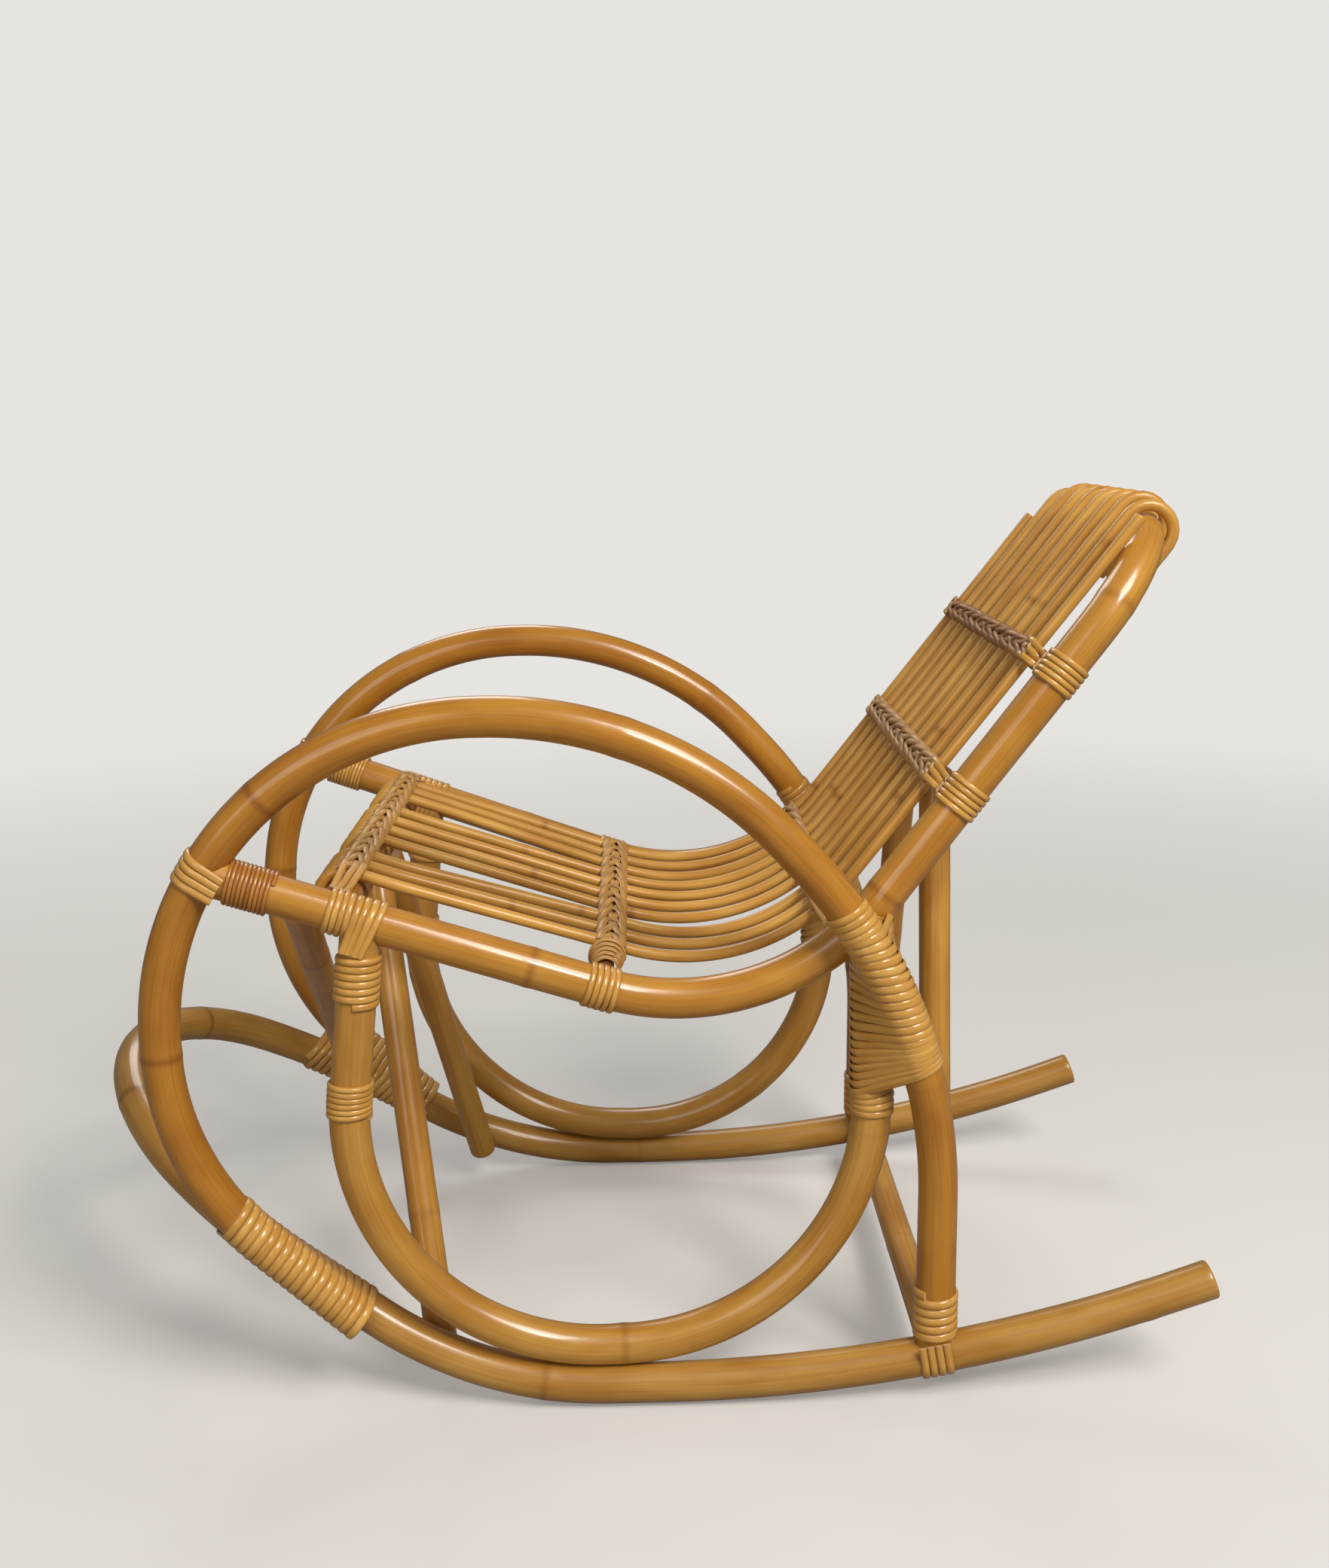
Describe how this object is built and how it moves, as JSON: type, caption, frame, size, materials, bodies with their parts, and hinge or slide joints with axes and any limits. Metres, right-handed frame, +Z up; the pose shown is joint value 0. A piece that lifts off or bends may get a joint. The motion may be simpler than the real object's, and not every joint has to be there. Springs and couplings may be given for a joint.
{
  "type": "rocking chair",
  "caption": "Child's rocking chair of bent rattan poles with round arm hoops, rod seat and back, and cane bound joints.",
  "frame": {"origin": "centre of the bounding box, on the floor", "axes": "+X towards the tails of the runners (the chair faces -X), +Y towards the sitter's right, +Z up"},
  "size_m": [0.7707, 0.4044, 0.5933],
  "materials": {
    "runner_pole": "glossy lacquered rattan, pale honey",
    "arm_pole": "glossy lacquered rattan, orange brown",
    "hoop_pole": "glossy lacquered rattan, honey",
    "brace_pole": "lacquered rattan, brown",
    "bar": "lacquered rattan",
    "rod": "lacquered cane rod, straw",
    "cane": "split cane, pale straw",
    "cane_brown": "split cane, brown",
    "nail": "plain wire nail"
  },
  "bodies": {
    "root": {"runner_left": "runner_pole", "runner_right": "runner_pole", "front_bow": "runner_pole", "arm_hoop_left": "arm_pole", "arm_hoop_right": "arm_pole", "side_hoop_left": "hoop_pole", "side_hoop_right": "hoop_pole", "seat_back_frame": "arm_pole", "front_brace_left": "brace_pole", "front_brace_right": "brace_pole", "front_diagonal_brace": "brace_pole", "rear_strut_left": "brace_pole", "rear_strut_right": "brace_pole", "rear_stretcher": "brace_pole", "seat_front_bar": "bar", "seat_middle_bar": "bar", "bend_bar": "bar", "back_middle_bar": "bar", "back_upper_bar": "bar", "rod_01": "rod", "rod_02": "rod", "rod_03": "rod", "rod_04": "rod", "rod_05": "rod", "rod_06": "rod", "rod_07": "rod", "rod_08": "rod", "rod_09": "rod", "rod_10": "rod", "splice_winding_left": "cane", "splice_winding_right": "cane", "junction_winding_left": "cane", "junction_winding_right": "cane", "hoop_top_winding_left": "cane", "hoop_top_winding_right": "cane", "hoop_band_left": "cane", "hoop_band_right": "cane", "rail_wrap_left": "cane_brown", "rail_wrap_right": "cane_brown", "foot_winding_left": "cane", "foot_winding_right": "cane", "rail_end_lashing_left": "cane", "rail_end_lashing_right": "cane", "rail_saddle_left": "cane", "rail_saddle_right": "cane", "foot_strap_left": "cane", "foot_strap_right": "cane", "middle_bar_band_left": "cane_brown", "middle_bar_band_right": "cane_brown", "back_middle_band_left": "cane_brown", "back_middle_band_right": "cane_brown", "back_upper_band_left": "cane_brown", "back_upper_band_right": "cane_brown", "lashing_front": "cane", "lashing_middle": "cane", "lashing_bend": "cane", "lashing_back_middle": "cane_brown", "lashing_back_upper": "cane_brown", "bar_nails": "nail", "joint_nails": "nail"}
  },
  "joints": []
}
